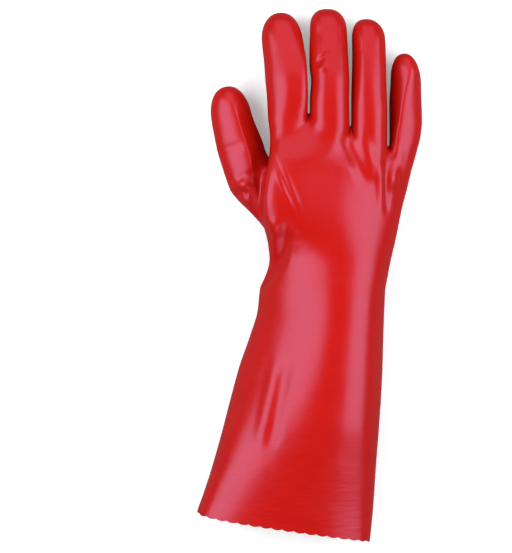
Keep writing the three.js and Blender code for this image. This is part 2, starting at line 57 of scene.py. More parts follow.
# Hand and cuff, from the hem to the knuckles: the two side edges in plan, their heights, the section's low
# and high, the share of the width at which the back is highest, and the back's roundness to the left and
# right of that crest.
BODY = table(
    "along left_x left_y right_x right_y left_z right_z low high crest left_round right_round",
    (0, -87.2, -181.6, 46.3, -205.5, 25, 24, 0, 50, 0.5, 2.6, 2.1),
    (25, -79, -158.5, 48.8, -179.8, 23, 24, 0, 53, 0.505, 2.4, 2),
    (58, -69.9, -127.6, 51.1, -145.7, 19, 25, 0, 57, 0.53, 2.1, 2),
    (91, -61.8, -96.7, 53.7, -111.5, 15, 26, 0, 60, 0.56, 1.9, 1.95),
    (120, -54.4, -69.7, 55.6, -80.9, 13, 26, 0, 59.5, 0.585, 1.8, 1.85),
    (146, -46.3, -46.5, 56.5, -53.8, 13, 26, 0, 58, 0.59, 1.78, 1.8),
    (167, -40.5, -27.2, 57.2, -31, 14, 26, 0, 56, 0.585, 1.8, 1.8),
    (185.5, -38.6, -10.2, 58.2, -11.1, 15, 25, 0, 54, 0.575, 1.82, 1.85),
    (196.5, -34.4, -0.2, 60.2, -0.2, 16.5, 23, 0.2, 52.4, 0.565, 1.86, 1.88),
    (208, -31.3, 11.4, 62.5, 11.4, 18.5, 21, 0.4, 51.3, 0.56, 1.9, 1.88),
    (223.5, -33.4, 26.8, 66.2, 26.8, 23.5, 19, 0.7, 49.9, 0.545, 2.3, 1.85),
    (240.5, -37.1, 43.8, 69.7, 43.8, 31, 17.5, 1.5, 48.8, 0.525, 4, 1.85),
    (255.5, -36.5, 61.6, 72.3, 55.8, 34, 16.5, 2.8, 48, 0.52, 5.2, 1.88),
    (267.5, -34.4, 77, 74.5, 63.6, 33.5, 16, 4.2, 47.3, 0.5, 4.8, 1.95),
    (279, -32.2, 92.4, 76.4, 71.4, 31, 16, 5.8, 46.6, 0.5, 3.6, 2.05),
    (290.5, -30.9, 107.9, 78.2, 78.6, 29, 15.5, 7.5, 45.7, 0.5, 2.6, 2.1),
    (306, -32.8, 128.7, 81.1, 90.1, 26.5, 15.5, 9, 44.5, 0.5, 2.2, 2.15),
)
BODY_LENGTH = 306
PALM_ROUNDNESS = 2.7

# The line that the fingers spring from, and how far below it the valleys between them reach: index_reach
# up to from_x, little_reach from to_x on, and a smooth change between the two.
KNUCKLES = {
    "x": -32.8, "y": 128.7, "slope": -0.339,
    "index_reach": 26, "little_reach": 24, "from_x": 0, "to_x": 28,
}

# Fingers from index to little: sections across +Y. edges is the share of the back's columns that a finger
# takes, and lean is how far the finger's upper side is pushed towards +X.
PALM_SIDE_ROUNDNESS = 2.2
SECTION = "y x half_width z half_height lean left_round right_round"
FINGERS = (
    {"edges": 5, "tip": 204, "cap": 21.8, "cap_roundness": 2.2, "sections": table(
        SECTION,
        (70, -17, 15.6, 25, 15, 0, 2.4, 2.6),
        (121, -17.2, 15.4, 26.5, 15, 1, 2.3, 3),
        (135, -17.5, 15.6, 26.8, 14.8, 3, 2.1, 3.4),
        (150, -18.5, 15.9, 25.3, 14.5, 4, 2, 3.6),
        (166, -19.5, 16.1, 21.5, 14.3, 4, 2, 3.4),
        (177.5, -20.8, 16.1, 18, 14, 3, 2, 3),
        (189, -21.8, 15.7, 15, 13.2, 1, 2.1, 2.5),
        (204, -22.4, 15.3, 13, 12.5, 0, 2.2, 2.2))},
    {"edges": 5, "tip": 206.8, "cap": 17.2, "cap_roundness": 2.5, "sections": table(
        SECTION,
        (60, 15, 15.6, 27, 16, 0, 2.4, 2.4),
        (112, 15.1, 15.3, 28.5, 16, 0, 2.4, 2.6),
        (135, 15, 15.2, 28.8, 15.5, -2, 2, 3.2),
        (150, 15.6, 14.8, 27.3, 15, -3, 1.8, 3.4),
        (162, 14.8, 15.2, 24.8, 14.6, -2.5, 1.8, 3.2),
        (177.5, 14.5, 14.8, 20.5, 14.2, -1, 2, 2.8),
        (189, 14.4, 14.3, 17.3, 13.5, 0, 2.2, 2.5),
        (206.8, 13.3, 13.9, 14, 12.5, 0, 2.3, 2.3))},
    {"edges": 4, "tip": 199, "cap": 18.2, "cap_roundness": 2.4, "sections": table(
        SECTION,
        (50, 45.5, 14, 24, 15, 0, 2.4, 2.4),
        (110, 45.7, 14, 25.3, 15, 0, 2.4, 2.4),
        (127, 45.8, 14, 25.5, 14.3, -1.5, 2.1, 2.7),
        (145, 45.6, 13.6, 24.1, 13.6, -3.5, 1.6, 3),
        (166, 45.8, 13.1, 20.2, 13.2, -3.5, 1.5, 3),
        (177.5, 45.7, 13, 17.3, 13, -2.5, 1.6, 2.8),
        (189, 45.2, 13, 14.8, 12.5, -1, 1.9, 2.5),
        (199, 43.8, 12.7, 13.5, 12, 0, 2.3, 2.4))},
    {"edges": 4, "tip": 172.4, "cap": 21, "cap_roundness": 2.2, "sections": table(
        SECTION,
        (50, 60.5, 11, 17, 13.5, 0, 2.2, 2.2),
        (80, 68, 10.4, 16.5, 13.5, -2, 2.1, 2),
        (96, 72, 10.9, 16, 13.5, -5, 1.8, 1.9),
        (108, 73.8, 12.1, 15.5, 13.4, -6, 1.5, 1.8),
        (120, 74.4, 12.7, 14.5, 13.2, -4.5, 1.4, 1.7),
        (135, 74.2, 12.5, 13.3, 12.8, -2, 1.35, 1.65),
        (150, 74.5, 11.8, 12.5, 12.3, 1, 1.35, 1.65),
        (160, 74.1, 11.5, 12.2, 12, 3, 1.5, 1.8),
        (172.4, 73.3, 11.2, 12, 11.5, 3, 2, 2.1))},
)
# The webs between the fingers: how far each bulges towards the fingertips. The last gap is only 2 mm wide, so
# its web is the shortest one.
WEB = {"half_angle": np.radians(27), "reach": (7, 8, 3), "steps": 12}

# The thumb's middle line from inside the hand to its tip, and the patch of skin that it takes the place of.
THUMB = {"cap": 23, "cap_roundness": 2.2, "settle": 0.4, "sections": table(
    "x y z half_width half_height lean left_round right_round",
    (-27.8, 44.6, 19, 18.5, 17, 0, 2.2, 2.2),
    (-37.1, 55.4, 17, 17.2, 16.3, 0, 2.1, 2.1),
    (-45.7, 74.7, 15.5, 18, 15.3, 3, 1.95, 1.5),
    (-52.9, 96.3, 14.8, 18, 14.6, 4.5, 1.8, 1.15),
    (-58.9, 115.6, 14.5, 16.4, 14.3, 4.5, 1.8, 1.15),
    (-61.8, 128.7, 14.2, 15.5, 14, 3, 1.85, 1.3),
    (-65.3, 146.6, 13.8, 15, 13.6, 1, 2, 2))}
THUMB_ROOT = {"first_ring": 25, "rings": 5, "back_columns": -1, "palm_columns": 6}

# The skin's grid, in rings of the plainest grid: the detail settings part each of them further, and the
# columns too.
RINGS = {"body": 34, "finger": 12, "thumb": 10, "cap": 5}
SMOOTHING = {"rounds": 5, "share": 0.6, "root_rings": 2, "web_rings": 2, "web_columns": 2}
# The hem's band, and how far its edge bows out, most near the thumb's side, until the bow fades up the cuff.
HEM = {"band": 5, "bow": 3.2, "bow_skew": 0.36, "bow_fades": 60}

# Folds and dents as paths in plan: rise is outwards, width is the distance at which a fold has died away.
FOLDS = (
    # dent below the thumb, then up beside it, and the low bulge left of it
    {"rise": -2.2, "width": 7, "path": (
        (-45, -12), (-39.5, -9), (-34, -3), (-28.5, 3), (-23, 11), (-19.5, 22), (-19, 34), (-18.5, 46))},
    {"rise": 1.7, "width": 7.5, "path": ((-27, 46), (-28, 34), (-28.5, 22), (-29, 8))},
    # valley below middle and ring, and the bulge right of it
    {"rise": -1.7, "width": 8, "path": ((25, 112), (34, 90), (45, 66))},
    {"rise": 1.6, "width": 8, "path": ((36, 112), (45, 92), (54, 72))},
    # ridge below the ring finger
    {"rise": 1.3, "width": 5, "path": ((56, 100), (53.5, 86), (54, 65), (55, 46))},
    # low bulge below the little finger
    {"rise": 1.8, "width": 8, "path": ((66, 104), (65, 84), (62, 62))},
    # step along the cuff: a dent, and a bulge left of it
    {"rise": -1.1, "width": 8, "path": ((-16, -58), (-21.5, -85), (-27, -112), (-32, -136))},
    {"rise": 1.1, "width": 8, "path": ((-24.5, -58), (-30, -85), (-35.5, -112), (-41, -136))},
)
FINE_FOLDS = (
    # twin ridges from the index finger, and the groove between them
    {"rise": 0.9, "width": 2.6, "path": ((-33, 98), (-26, 80), (-19.5, 64), (-11, 48))},
    {"rise": 0.9, "width": 2.6, "path": ((-30, 106), (-22, 84), (-14.5, 66), (-6, 46))},
    {"rise": -0.7, "width": 4, "path": ((-31.5, 101), (-24, 82), (-17, 65), (-8.5, 47))},
    # crease beside the ring finger's ridge
    {"rise": -1.2, "width": 4, "path": ((59, 88), (58.5, 68), (59, 46))},
    # crease across the middle finger, and the ridge below it
    {"rise": -1, "width": 3.5, "path": ((14, 172), (9, 167), (5, 163))},
    {"rise": 0.9, "width": 4, "path": ((14, 161), (9, 159), (5, 157))},
)
THUMB_FOLDS = (
    # crease across the ball of the thumb
    {"rise": -1, "width": 6, "path": ((-74, 95), (-63, 98), (-50, 101))},
    # below it a crease, a ridge that turns towards the wrist, and a deeper crease
    {"rise": -1.2, "width": 3.5, "path": ((-57, 76), (-50, 77), (-41, 81))},
    {"rise": 1.8, "width": 5, "path": ((-60, 69), (-52, 70), (-44, 70), (-40.5, 61), (-39, 50))},
    {"rise": -2, "width": 5, "path": ((-60, 62), (-53, 64), (-47, 63))},
)


def curve(rows, station, column, at):
    """Cubic pieces through a table's rows. The slope at a row is the harmonic mean of the rises beside it, or
    zero where one goes up and the other down."""
    x, y = rows[station], rows[column]
    rise = np.diff(y) / np.diff(x)
    before, after = np.append(rise[0], rise), np.append(rise, rise[-1])
    same_way = before * after > 0
    slope = np.where(same_way, 2 * before * after / np.where(same_way, before + after, 1), 0)
    i = np.clip(np.searchsorted(x, at, side="right") - 1, 0, len(rise) - 1)
    gap = x[i + 1] - x[i]
    t = np.clip((at - x[i]) / gap, 0, 1)
    start = (1 + 2 * t) * (1 - t) ** 2 * y[i] + t * (1 - t) ** 2 * gap * slope[i]
    end = t * t * (3 - 2 * t) * y[i + 1] + t * t * (t - 1) * gap * slope[i + 1]
    return start + end


def power(value, roundness):
    """The value to the power 2 / roundness, keeping its sign: the law of a superellipse."""
    return np.sign(value) * np.abs(value) ** (2 / roundness)


def smoothstep(value, low, high):
    """0 below low, 1 above high, and 3t^2 - 2t^3 between them."""
    t = np.clip((value - low) / (high - low), 0, 1)
    return t * t * (3 - 2 * t)


def lerp(a, b, t):
    """The point a share t of the way from a to b."""
    return a + (b - a) * t


def knuckle_y(x):
    """The knuckle line's place along the hand at x."""
    return KNUCKLES["y"] + KNUCKLES["slope"] * (x - KNUCKLES["x"])


def body_points(along, angle):
    """Sections of hand and cuff: superellipse halves for back and palm, hung between the left and right edge.
    The back's half is pushed sideways by a parabola, so that it peaks at the crest's share of the width."""
    on_back = np.sin(angle) >= 0
    at = {name: curve(BODY, "along", name, along) for name in BODY if name != "along"}
    roundness = np.where(np.cos(angle) > 0, at["left_round"], at["right_round"])
    roundness = np.where(on_back, roundness, PALM_ROUNDNESS)
    across = (1 - power(np.cos(angle), roundness)) / 2
    across = across + np.where(on_back, 4 * (at["crest"] - 0.5) * across * (1 - across), 0)
    edge_z = lerp(at["left_z"], at["right_z"], across)
    reach = np.where(on_back, at["high"], at["low"]) - (at["left_z"] + at["right_z"]) / 2
    kept = 1 - smoothstep(along, 0, HEM["bow_fades"])
    bow = HEM["bow"] * np.sin(np.pi * across ** HEM["bow_skew"]) * kept
    x = lerp(at["left_x"], at["right_x"], across)
    y = lerp(at["left_y"], at["right_y"], across) - bow
    return np.stack([x, y, edge_z + reach * np.abs(power(np.sin(angle), roundness))], axis=-1)


def section_angles(along, steps, from_angle):
    """Angles that part half a section into steps: by length at the hem, closer at the edges further up."""
    samples = from_angle + np.pi * (np.arange(121) + 1e-6) / 120
    points = body_points(along[:, None], samples[None, :])
    lengths = np.cumsum(np.linalg.norm(np.diff(points, axis=1), axis=2), axis=1)
    lengths = np.pad(lengths, ((0, 0), (1, 0)))
    share = np.arange(steps) / steps
    by_length = np.array([np.interp(share * row[-1], row, np.linspace(0, 1, 121)) for row in lengths])
    evenness = 1 - 0.5 * smoothstep(along, 0, 60)
    return from_angle + np.pi * lerp(share[None, :], by_length, evenness[:, None])


def superellipse(angle, left_round, right_round):
    """A section 1 wide and 1 high each way, with roundnesses of its own to the left and right on the upper
    side."""
    upper = np.where(np.cos(angle) < 0, left_round, right_round)
    roundness = np.where(np.sin(angle) > 0, upper, PALM_SIDE_ROUNDNESS)
    return power(np.cos(angle), roundness), power(np.sin(angle), roundness)


def finger_points(sections, y, angle, size=1.0):
    """A finger's superellipse section at y, where angle 0 points to +X and a quarter turn to the back. Its
    upper side leans by the square of its height."""
    at = {name: curve(sections, "y", name, y) for name in sections if name != "y"}
    across, up = superellipse(angle, at["left_round"], at["right_round"])
    x = at["x"] + size * (at["half_width"] * across + at["lean"] * np.maximum(up, 0) ** 2)
    z = at["z"] + size * at["half_height"] * up
    return np.stack([x, y + 0 * x, z], axis=-1)


def cap_steps(rings, roundness):
    """How far along and how wide each ring of a rounded tip is: a quarter of a superellipse, without its
    ends."""
    angle = np.arange(1, rings) / rings * np.pi / 2
    return power(np.sin(angle), roundness), power(np.cos(angle), roundness)


class Skin:
    """Vertices and faces that grow patch by patch. A patch is an array of vertex numbers, ring by ring."""

    def __init__(self):
        self.points = np.zeros((0, 3))
        self.triangles = []
        self.quads = []

    def add(self, points):
        """Adds an array of points and returns their numbers in the same shape."""
        start = len(self.points)
        self.points = np.concatenate([self.points, points.reshape(-1, 3)])
        return np.arange(start, len(self.points)).reshape(points.shape[:-1])

    def join(self, rings, keep=None):
        """Quads between each ring and the next, round all the columns, or only where keep is true."""
        a, d = rings[:-1], rings[1:]
        quads = np.stack([a, np.roll(a, -1, axis=1), np.roll(d, -1, axis=1), d], axis=-1)
        self.quads.append(quads[keep] if keep is not None else quads.reshape(-1, 4))

    def close(self, ring, pole):
        """Triangles from a ring to the vertex at the middle of a tip."""
        self.triangles.append(np.stack([ring, np.roll(ring, -1), np.full(len(ring), pole)], axis=-1))

    def all_triangles(self):
        """Every face as triangles, for normals and for neighbours."""
        quads = np.concatenate(self.quads)
        return np.concatenate([*self.triangles, quads[:, [0, 1, 2]], quads[:, [0, 2, 3]]])

    def normals(self):
        """Each vertex's normal: the sum of its faces' cross products, made one long."""
        faces = self.all_triangles()
        p = self.points[faces]
        cross = np.cross(p[:, 1] - p[:, 0], p[:, 2] - p[:, 0])
        normal = self.gather(faces.ravel(), np.repeat(cross, 3, axis=0))
        return normal / np.maximum(np.linalg.norm(normal, axis=1, keepdims=True), 1e-12)

    def gather(self, numbers, values):
        """The sum of the values that belong to each vertex."""
        return np.stack([np.bincount(numbers, values[:, k], len(self.points)) for k in range(3)], axis=1)

    def smooth(self, weight, rounds):
        """Rounds of moving each vertex towards the middle of its neighbours, by its own weight."""
        faces = self.all_triangles()
        sides = np.concatenate([faces[:, [0, 1]], faces[:, [1, 2]], faces[:, [2, 0]]])
        sides = np.unique(np.concatenate([sides, sides[:, ::-1]]), axis=0)
        degree = np.bincount(sides[:, 0], minlength=len(self.points))[:, None]
        for _ in range(rounds):
            middle = self.gather(sides[:, 0], self.points[sides[:, 1]]) / np.maximum(degree, 1)
            self.points = lerp(self.points, middle, weight[:, None] * (degree > 0))


def finger_spans(detail):
    """Each finger's columns on back and palm, both from its index side on, and its angles at both sides."""
    columns = sum(finger["edges"] for finger in FINGERS) * (detail["back"] + detail["palm"])
    spans, first = [], 0
    for f, finger in enumerate(FINGERS):
        back = np.arange(finger["edges"] * detail["back"] + 1) + first * detail["back"]
        palm = -np.arange(finger["edges"] * detail["palm"] + 1) - first * detail["palm"]
        start = np.pi - (WEB["half_angle"] if f > 0 else 0)
        end = WEB["half_angle"] if f < len(FINGERS) - 1 else 0
        spans.append({"back": back, "palm": palm % columns, "start": start, "end": end})
        first += finger["edges"]
    return spans, columns


def side_angles(span, side):
    """The angles of a finger's columns on its back or palm, evenly from its start to its end."""
    angles = np.linspace(span["start"], span["end"], len(span[side]))
    return angles if side == "back" else -angles


def knuckle_rings(spans, columns, below):
    """The fingers' own sections, carried a distance below the knuckles, as rings over all the columns."""
    total = np.zeros((len(below), columns, 3))
    count = np.zeros(columns)
    for span, finger in zip(spans, FINGERS):
        sections = finger["sections"]
        middle_y = knuckle_y(curve(sections, "y", "x", 0.0))
        for side in ("back", "palm"):
            angle = side_angles(span, side)
            edge_x = finger_points(sections, middle_y, angle)[..., 0]
            points = finger_points(sections, knuckle_y(edge_x)[None, :] - below[:, None], angle[None, :])
            total[:, span[side]] += points
            count[span[side]] += 1
    return total / count[None, :, None]


def round_angles(along, detail, per_column=1):
    """The angles of whole sections: the back's from 0, then the palm's from a half turn."""
    edges = sum(finger["edges"] for finger in FINGERS) * per_column
    back = section_angles(along, edges * detail["back"], 0)
    return np.concatenate([back, section_angles(along, edges * detail["palm"], np.pi)], axis=1)


def body_patch(skin, detail, spans, columns):
    """Hand and cuff: sections from the hem's band up, turning into the fingers' own towards the knuckles."""
    rings = RINGS["body"] * detail["rings"]
    along = np.linspace(HEM["band"], BODY_LENGTH, rings + 1)
    knuckles = knuckle_rings(spans, columns, BODY_LENGTH - along)
    right = smoothstep(knuckles[-1, :, 0], KNUCKLES["from_x"], KNUCKLES["to_x"])
    reach = lerp(KNUCKLES["index_reach"], KNUCKLES["little_reach"], right)
    share = 1 - smoothstep((BODY_LENGTH - along)[:, None], 0, reach[None, :])
    body = body_points(along[:, None], round_angles(along, detail))
    numbers = skin.add(lerp(body, knuckles, share[..., None]))
    ring, column = np.meshgrid(np.arange(rings), np.arange(columns), indexing="ij")
    low, high, near, far = thumb_root(detail)
    in_root = (ring >= low) & (ring < high) & (column >= columns + far) & (column < columns + near)
    skin.join(numbers, ~in_root)
    return numbers


def web_shares():
    """How far each of a web's vertices lies between the back and the palm."""
    return np.arange(1, WEB["steps"]) / WEB["steps"]


def web_strips(skin, spans, knuckle_ring):
    """Between two fingers: vertices from back to palm that bulge towards the fingertips as half a sine."""
    strips = []
    share = web_shares()[:, None]
    for span, reach in zip(spans, WEB["reach"]):
        back = skin.points[knuckle_ring[span["back"][-1]]]
        palm = skin.points[knuckle_ring[span["palm"][-1]]]
        strips.append(skin.add(lerp(back, palm, share) + np.array([0, reach, 0]) * np.sin(np.pi * share)))
    return strips


def finger_patch(skin, detail, f, spans, knuckle_ring, strips):
    """A finger: each column runs from its own place on the knuckle line to the tip's rounded cap."""
    span, finger = spans[f], FINGERS[f]
    first, last = f == 0, f == len(FINGERS) - 1
    kept = slice(1 if last else 0, -1 if first else None)
    parts = [(knuckle_ring[span["back"]], side_angles(span, "back"))]
    if not last:
        parts.append((strips[f], lerp(span["end"], -span["end"], web_shares())))
    parts.append((knuckle_ring[span["palm"][::-1]][kept], side_angles(span, "palm")[::-1][kept]))
    if not first:
        parts.append((strips[f - 1][::-1], -lerp(span["start"], 2 * np.pi - span["start"], web_shares())))
    base = np.concatenate([numbers for numbers, _ in parts])
    angles = np.concatenate([angle for _, angle in parts])

    cap_y = finger["tip"] - finger["cap"]
    step = np.linspace(0, 1, RINGS["finger"] * detail["rings"] + 1)[1:, None]
    shaft_y = lerp(skin.points[base][None, :, 1], cap_y, step)
    shaft = finger_points(finger["sections"], shaft_y, angles[None, :])
    far, wide = cap_steps(RINGS["cap"] * detail["rings"], finger["cap_roundness"])
    tip_y = cap_y + finger["cap"] * far[:, None]
    cap = finger_points(finger["sections"], tip_y, angles[None, :], wide[:, None])
    rings = np.concatenate([base[None, :], skin.add(shaft), skin.add(cap)])
    skin.join(rings)
    tip = finger_points(finger["sections"], np.array([finger["tip"]]), np.array([0.0]), 0.0)
    skin.close(rings[-1], skin.add(tip)[0])


def thumb_line(share):
    """The thumb's middle line as a Catmull-Rom curve through its sections, and its direction there."""
    points = np.stack([THUMB["sections"][name] for name in "xyz"], axis=1)
    padded = np.concatenate([[2 * points[0] - points[1]], points, [2 * points[-1] - points[-2]]])
    at = np.clip(share, 0, 1) * (len(points) - 1)
    i = np.minimum(at.astype(int), len(points) - 2)
    t = (at - i)[..., None]
    a, b, c, d = padded[i], padded[i + 1], padded[i + 2], padded[i + 3]
    square = 2 * a - 5 * b + 4 * c - d
    cube = 3 * b - a - 3 * c + d
    place = 0.5 * (2 * b + (c - a) * t + square * t ** 2 + cube * t ** 3)
    forward = 0.5 * ((c - a) + 2 * square * t + 3 * cube * t ** 2)
    return place, forward / np.linalg.norm(forward, axis=-1, keepdims=True)


def thumb_points(share, angle, size=1.0):
    """The thumb's superellipse section across its middle line."""
    rows = {"share": np.linspace(0, 1, len(THUMB["sections"]["x"])), **THUMB["sections"]}
    place, forward = thumb_line(share)
    right = np.stack([forward[..., 1], -forward[..., 0], 0 * forward[..., 0]], axis=-1)
    right /= np.linalg.norm(right, axis=-1, keepdims=True)
    up = np.cross(right, forward)
    at = {name: curve(rows, "share", name, share) for name in THUMB["sections"] if name not in "xyz"}
    across, rise = superellipse(angle, at["left_round"], at["right_round"])
    wide = size * (at["half_width"] * across + at["lean"] * np.maximum(rise, 0) ** 2)
    tall = size * at["half_height"] * rise
    return place + wide[..., None] * right + tall[..., None] * up


def thumb_root(detail):
    """The skin that the thumb takes the place of: lowest and highest ring, nearest and furthest column."""
    low = THUMB_ROOT["first_ring"] * detail["rings"]
    high = low + THUMB_ROOT["rings"] * detail["rings"]
    near = THUMB_ROOT["back_columns"] * detail["palm"]
    far = -THUMB_ROOT["palm_columns"] * detail["palm"]
    return low, high, near, far


def thumb_patch(skin, detail, columns, body):
    """The thumb: each column starts on the edge of its patch and settles into the thumb's own sections."""
    low, high, near, far = thumb_root(detail)
    sides = [
        body[high, np.arange(near, far, -1) % columns], body[high:low:-1, far % columns],
        body[low, np.arange(far, near) % columns], body[low:high, near % columns]]
    loop = np.concatenate(sides)
    quarters = np.concatenate([i + np.arange(len(side)) / len(side) for i, side in enumerate(sides)])
    angles = np.pi / 4 - np.pi / 2 * quarters
    shares = np.linspace(0, 1, 401)
    line, _ = thumb_line(shares)
    distance = np.linalg.norm(skin.points[loop][:, None, :2] - line[None, :, :2], axis=2)
    start = shares[np.argmin(distance, axis=1)]
    offset = skin.points[loop] - thumb_points(start, angles)

    length = np.linalg.norm(np.diff(line, axis=0), axis=1).sum()
    cap_share = 1 - THUMB["cap"] / length
    step = np.linspace(0, 1, RINGS["thumb"] * detail["rings"] + 1)[1:, None]
    kept = 1 - smoothstep(step, 0, THUMB["settle"])
    shaft = thumb_points(lerp(start[None, :], cap_share, step), angles[None, :] + 0 * step)
    shaft += offset * kept[..., None]
    along, wide = cap_steps(RINGS["cap"] * detail["rings"], THUMB["cap_roundness"])
    cap = thumb_points(lerp(cap_share, 1, along)[:, None] + 0 * angles, angles[None, :], wide[:, None])
    rings = np.concatenate([loop[None, :], skin.add(shaft), skin.add(cap)])
    skin.join(rings)
    skin.close(rings[-1], skin.add(thumb_points(np.array([1.0]), np.array([0.0]), 0.0))[0])
    return rings


def smoothing_weights(skin, detail, spans, columns, body, thumb):
    """How much each vertex near the thumb's root and the webs gives way: most at the joint, none a few
    rings off."""
    weight = np.zeros(len(skin.points))
    ring, column = np.meshgrid(np.arange(len(body)) / detail["rings"], np.arange(columns), indexing="ij")
    last_back = spans[-1]["back"][-1]
    around = np.where(column > last_back, (column - columns) / detail["palm"], column / detail["back"])
    first, rings = THUMB_ROOT["first_ring"], THUMB_ROOT["rings"]
    past_ends = np.maximum(first - ring, ring - first - rings)
    past_sides = np.maximum(-THUMB_ROOT["palm_columns"] - around, around - THUMB_ROOT["back_columns"])
    from_root = np.maximum(np.maximum(past_ends, past_sides), 0) / (SMOOTHING["root_rings"] + 1)
    crotches = np.array([span["back"][-1] for span in spans[:-1]]) / detail["back"]
    to_crotch = np.min(np.abs(np.abs(around)[..., None] - crotches), axis=-1)
    below_web = (RINGS["body"] - ring) / (SMOOTHING["web_rings"] + 1)
    from_web = np.maximum(below_web, to_crotch / SMOOTHING["web_columns"])
    weight[body] = np.clip(1 - np.minimum(from_root, from_web), 0, 1)
    steps = np.arange(1, (SMOOTHING["root_rings"] + 2) * detail["rings"])
    weight[thumb[steps]] = (1 - steps / detail["rings"] / (SMOOTHING["root_rings"] + 2))[:, None]
    return SMOOTHING["share"] * weight


def fold_strength(fold, x, y):
    """1 on the fold's path, falling as half a cosine to 0 at its width, and fading towards both ends."""
    path = np.array(fold["path"], float)
    nearest, share = np.full(x.shape, np.inf), np.zeros(x.shape)
    for i, (start, side) in enumerate(zip(path[:-1], np.diff(path, axis=0))):
        t = np.clip(((x - start[0]) * side[0] + (y - start[1]) * side[1]) / (side @ side), 0, 1)
        distance = np.hypot(x - start[0] - t * side[0], y - start[1] - t * side[1])
        closer = distance < nearest
        nearest = np.where(closer, distance, nearest)
        share = np.where(closer, (i + t) / len(path[1:]), share)
    fade = smoothstep(np.minimum(share, 1 - share), -0.05, 0.3)
    return fade * (1 + np.cos(np.pi * np.minimum(nearest / fold["width"], 1))) / 2


def add_folds(skin, on_thumb):
    """Moves the skin along its normals by each fold's rise, on the side that faces up."""
    normals = skin.normals()
    x, y = skin.points[:, 0].copy(), skin.points[:, 1].copy()
    moved = np.zeros(len(x))
    for folds, chosen in ((FOLDS + FINE_FOLDS, ~on_thumb), (THUMB_FOLDS, on_thumb)):
        for fold in folds:
            moved[chosen] += fold["rise"] * fold_strength(fold, x[chosen], y[chosen])
    skin.points += normals * (moved * smoothstep(normals[:, 2], 0.05, 0.4))[:, None]


def hem_patch(skin, detail, ring, scallops, depth):
    """The hem's band: its edge runs in scallops, each half a wave of the size of a sine."""
    along = np.zeros(1)
    angles = round_angles(along, detail, 2)[0]
    edge = body_points(np.zeros(len(angles)), angles)
    inward = body_points(np.full(len(angles), float(HEM["band"])), angles) - edge
    inward /= np.linalg.norm(inward, axis=1, keepdims=True)
    steps = [sum(finger["edges"] for finger in FINGERS) * 2 * detail[side] for side in ("back", "palm")]
    halves = np.concatenate([np.arange(count) / count for count in steps])
    bulge = np.abs(np.sin(np.pi * halves * scallops / 2))
    hem = skin.add(edge + inward * (depth * (1 - bulge))[:, None])
    before, middle, after = hem[::2], hem[1::2], np.roll(hem[::2], -1)
    next_up = np.roll(ring, -1)
    for corners in ((before, middle, ring), (middle, after, next_up), (ring, middle, next_up)):
        skin.triangles.append(np.stack(corners, axis=-1))
    return hem


def glove_skin(detail, scallops, scallop_depth):
    """The outer skin with its joints smoothed and its folds raised, and the numbers of the hem's vertices."""
    skin = Skin()
    spans, columns = finger_spans(detail)
    body = body_patch(skin, detail, spans, columns)
    strips = web_strips(skin, spans, body[-1])
    for f in range(len(FINGERS)):
        finger_patch(skin, detail, f, spans, body[-1], strips)
    before_thumb = len(skin.points)
    thumb = thumb_patch(skin, detail, columns, body)
    rounds = SMOOTHING["rounds"] * detail["rings"] * detail["palm"]
    skin.smooth(smoothing_weights(skin, detail, spans, columns, body, thumb), rounds)
    add_folds(skin, np.arange(len(skin.points)) >= before_thumb)
    hem = hem_patch(skin, detail, body[0], scallops, scallop_depth)
    return skin, hem


def shell_mesh(name, skin, hem, wall):
    """A closed shell: the skin, the skin moved inwards by the wall and turned over, and the hem's rim. The
    hem is cut, so the rim's two edges are the only sharp ones."""
    count = len(skin.points)
    used = np.zeros(count, bool)
    used[skin.all_triangles()] = True
    renumber = np.cumsum(used) - 1
    outer = skin.points[used]
    inner = (skin.points - skin.normals() * wall)[used]
    triangles = renumber[np.concatenate(skin.triangles)]
    quads = renumber[np.concatenate(skin.quads)]
    edge, after = renumber[hem], renumber[np.roll(hem, -1)]
    rim = np.stack([after, edge, edge + len(outer), after + len(outer)], axis=-1)
    threes = np.concatenate([triangles, triangles[:, ::-1] + len(outer)])
    fours = np.concatenate([quads, quads[:, ::-1] + len(outer), rim])
    points = np.concatenate([outer, inner])
    low, high = points.min(axis=0), points.max(axis=0)
    points -= [(low[0] + high[0]) / 2, (low[1] + high[1]) / 2, low[2]]
    mesh = bpy.data.meshes.new(name)
    mesh.from_pydata((points * MM).tolist(), [], threes.tolist() + fours.tolist())
    lined = np.concatenate([
        np.arange(len(threes)) >= len(triangles), np.arange(len(fours)) >= len(quads)]).astype(np.int32)
    mesh.polygons.foreach_set("material_index", lined)
    mesh.polygons.foreach_set("use_smooth", np.ones(len(lined), bool))
    ends = np.empty(2 * len(mesh.edges), np.int32)
    mesh.edges.foreach_get("vertices", ends)
    ends = ends.reshape(-1, 2)
    cut = np.isin(ends, edge).all(axis=1) | np.isin(ends, edge + len(outer)).all(axis=1)
    mesh.edges.foreach_set("use_edge_sharp", cut)
    mesh.update()
    return mesh


def linear(colour):
    """An sRGB hex colour such as "d30d0a" as linear red, green, blue and alpha."""
    parts = [int(colour[i:i + 2], 16) / 255 for i in (0, 2, 4)]
    return [c / 12.92 if c <= 0.04045 else ((c + 0.055) / 1.055) ** 2.4 for c in parts] + [1.0]


def add_node(tree, kind, links=(), **settings):
    """Adds a node, sets its properties and inputs, and links (output socket, input name) pairs into it."""
    node = tree.nodes.new(kind)
    for name, value in settings.pop("inputs", {}).items():
        node.inputs[name].default_value = value
    for name, value in settings.items():
        setattr(node, name, value)
    for output, name in links:
        tree.links.new(output, node.inputs[name])
    return node


def new_material(name):
    """An empty material with its output and a Principled shader on it."""
    material = bpy.data.materials.new(name)
    material.use_nodes = True
    tree = material.node_tree
    tree.nodes.clear()
    shader = add_node(tree, "ShaderNodeBsdfPrincipled")
    add_node(tree, "ShaderNodeOutputMaterial", links=[(shader.outputs["BSDF"], "Surface")])
    return material, tree, shader


